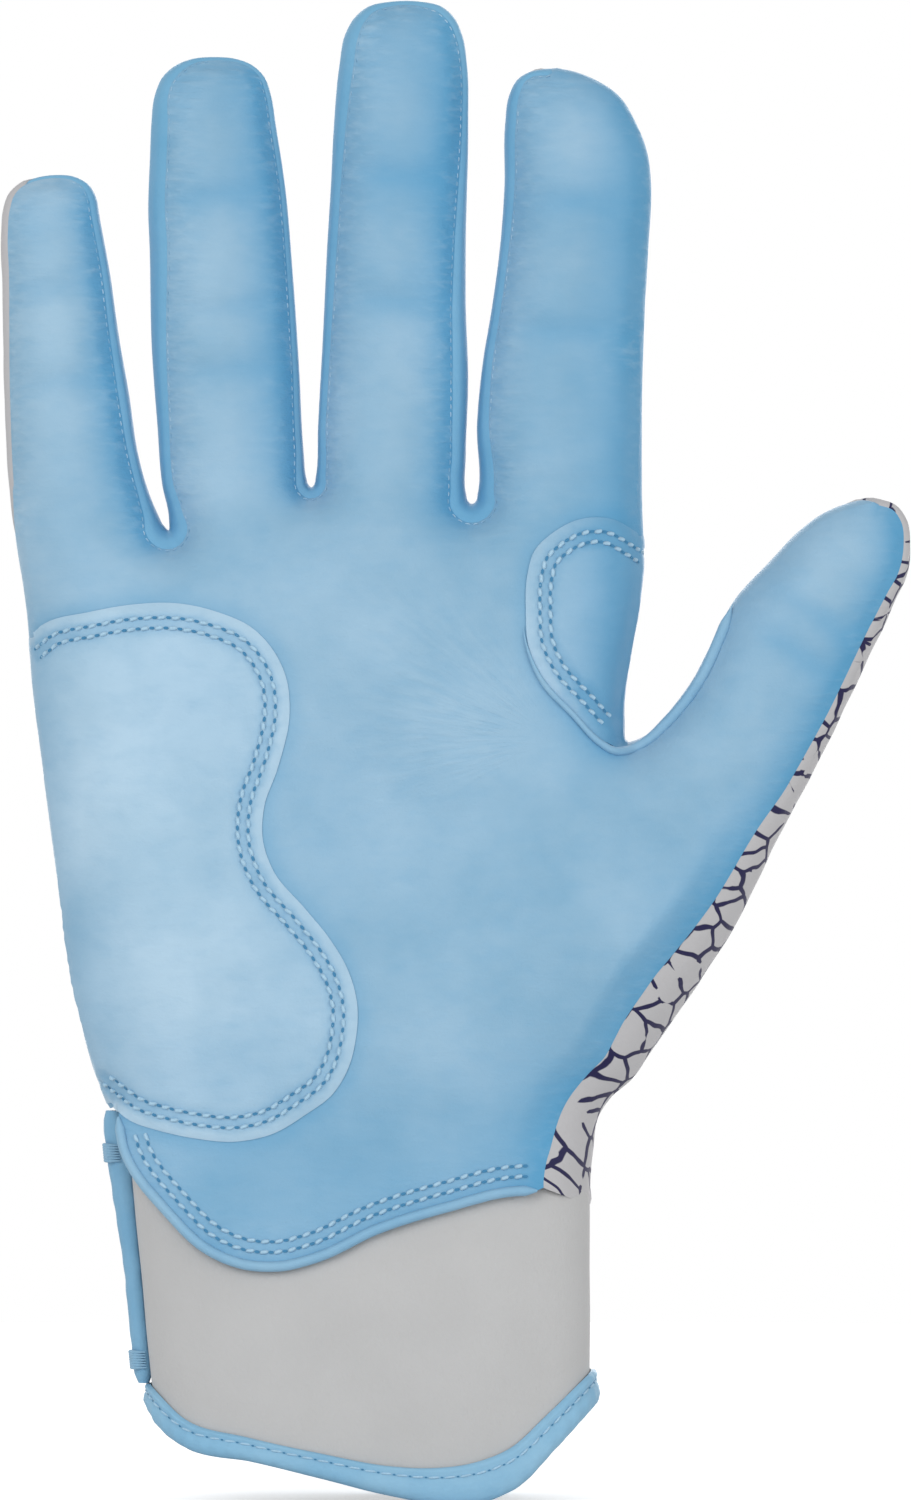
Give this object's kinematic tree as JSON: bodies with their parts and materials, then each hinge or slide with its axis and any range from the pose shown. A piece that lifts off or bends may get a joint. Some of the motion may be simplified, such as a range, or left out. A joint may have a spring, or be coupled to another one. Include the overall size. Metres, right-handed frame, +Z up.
{
  "type": "batting glove",
  "caption": "Right-hand leather batting glove with fourchette fingers, sewn palm patches, a neoprene wrist cuff and a strap closure on the back.",
  "frame": {"origin": "centre of the wrist opening, level with the lowest point of the cuff's hem", "axes": "+Z up along the fingers, +Y out of the back of the hand, +X towards the thumb; the palm faces -Y"},
  "size_m": [0.1502, 0.0431, 0.2454],
  "materials": {
    "blue_leather": "smooth sheepskin, pale blue, satin",
    "printed_back": "grey stretch synthetic with a navy crackle print, matte",
    "cuff_neoprene": "grey knit-faced neoprene, matte",
    "blue_binding": "folded blue binding, satin",
    "hook_and_loop": "grey hook and loop tape",
    "tab_rubber": "soft moulded rubber, blue, satin"
  },
  "bodies": {
    "hand": {"palm_leather": "blue_leather", "back_panel": "printed_back", "heel_patch": "blue_leather", "index_patch": "blue_leather", "web_gusset_little_ring": "blue_leather", "web_gusset_ring_middle": "blue_leather", "web_gusset_middle_index": "blue_leather", "palm_edge_piping": "blue_binding", "thumb_seam_piping": "blue_binding", "wrist_cuff": "cuff_neoprene", "cuff_hem_binding": "blue_binding", "loop_patch": "hook_and_loop"},
    "little_lower": {"little_palm_leather": "blue_leather", "little_back": "printed_back", "little_fourchette_right": "blue_leather"},
    "little_tip": {"little_tip_leather": "blue_leather", "little_tip_back": "printed_back", "little_tip_fourchette": "blue_leather"},
    "ring_lower": {"ring_palm_leather": "blue_leather", "ring_back": "printed_back", "ring_fourchette_left": "blue_leather", "ring_fourchette_right": "blue_leather"},
    "ring_tip": {"ring_tip_leather": "blue_leather", "ring_tip_back": "printed_back", "ring_tip_fourchette": "blue_leather"},
    "middle_lower": {"middle_palm_leather": "blue_leather", "middle_back": "printed_back", "middle_fourchette_left": "blue_leather", "middle_fourchette_right": "blue_leather"},
    "middle_tip": {"middle_tip_leather": "blue_leather", "middle_tip_back": "printed_back", "middle_tip_fourchette": "blue_leather"},
    "index_lower": {"index_palm_leather": "blue_leather", "index_back": "printed_back", "index_fourchette_left": "blue_leather"},
    "index_tip": {"index_tip_leather": "blue_leather", "index_tip_back": "printed_back", "index_tip_fourchette": "blue_leather"},
    "thumb_lower": {"thumb_palm_leather": "blue_leather", "thumb_back": "printed_back"},
    "thumb_tip": {"thumb_tip_leather": "blue_leather", "thumb_tip_back": "printed_back"},
    "strap": {"closure_strap": "cuff_neoprene", "strap_end_binding": "blue_binding", "hook_patch": "hook_and_loop", "pull_tab": "tab_rubber"}
  },
  "joints": [
    {"name": "little_base_bend", "type": "hinge", "parent": "hand", "child": "little_lower", "pos_m": [-0.0478, -0.0084, 0.1609], "axis": [0.9969, 0, 0.0785], "range_deg": [0, 85], "stiffness_Nm_per_rad": 0.02},
    {"name": "little_middle_bend", "type": "hinge", "parent": "little_lower", "child": "little_tip", "pos_m": [-0.04945, -0.00791, 0.18183], "axis": [0.9969, 0, 0.0785], "range_deg": [0, 90], "stiffness_Nm_per_rad": 0.02},
    {"name": "ring_base_bend", "type": "hinge", "parent": "hand", "child": "ring_lower", "pos_m": [-0.0222, -0.0094, 0.1683], "axis": [0.9987, 0, 0.0506], "range_deg": [0, 85], "stiffness_Nm_per_rad": 0.02},
    {"name": "ring_middle_bend", "type": "hinge", "parent": "ring_lower", "child": "ring_tip", "pos_m": [-0.02352, -0.00899, 0.19427], "axis": [0.9987, 0, 0.0506], "range_deg": [0, 90], "stiffness_Nm_per_rad": 0.02},
    {"name": "middle_base_bend", "type": "hinge", "parent": "hand", "child": "middle_lower", "pos_m": [0.0035, -0.0096, 0.1683], "axis": [0.9995, 0, -0.0314], "range_deg": [0, 85], "stiffness_Nm_per_rad": 0.02},
    {"name": "middle_middle_bend", "type": "hinge", "parent": "middle_lower", "child": "middle_tip", "pos_m": [0.00438, -0.00922, 0.19629], "axis": [0.9995, 0, -0.0314], "range_deg": [0, 90], "stiffness_Nm_per_rad": 0.02},
    {"name": "index_base_bend", "type": "hinge", "parent": "hand", "child": "index_lower", "pos_m": [0.0312, -0.0096, 0.1658], "axis": [0.999, 0, -0.0436], "range_deg": [0, 85], "stiffness_Nm_per_rad": 0.02},
    {"name": "index_middle_bend", "type": "hinge", "parent": "index_lower", "child": "index_tip", "pos_m": [0.03233, -0.0092, 0.19178], "axis": [0.999, 0, -0.0436], "range_deg": [0, 90], "stiffness_Nm_per_rad": 0.02},
    {"name": "thumb_base_bend", "type": "hinge", "parent": "hand", "child": "thumb_lower", "pos_m": [0.0562, -0.0102, 0.1188], "axis": [0.8387, 0, -0.5446], "range_deg": [0, 45], "stiffness_Nm_per_rad": 0.02},
    {"name": "thumb_end_bend", "type": "hinge", "parent": "thumb_lower", "child": "thumb_tip", "pos_m": [0.0709, -0.00915, 0.14144], "axis": [0.8387, 0, -0.5446], "range_deg": [0, 55], "stiffness_Nm_per_rad": 0.02},
    {"name": "strap_peel", "type": "hinge", "parent": "hand", "child": "strap", "pos_m": [0.0243, 0.0172, 0.0406], "axis": [0, 0, -1], "range_deg": [0, 110]}
  ]
}
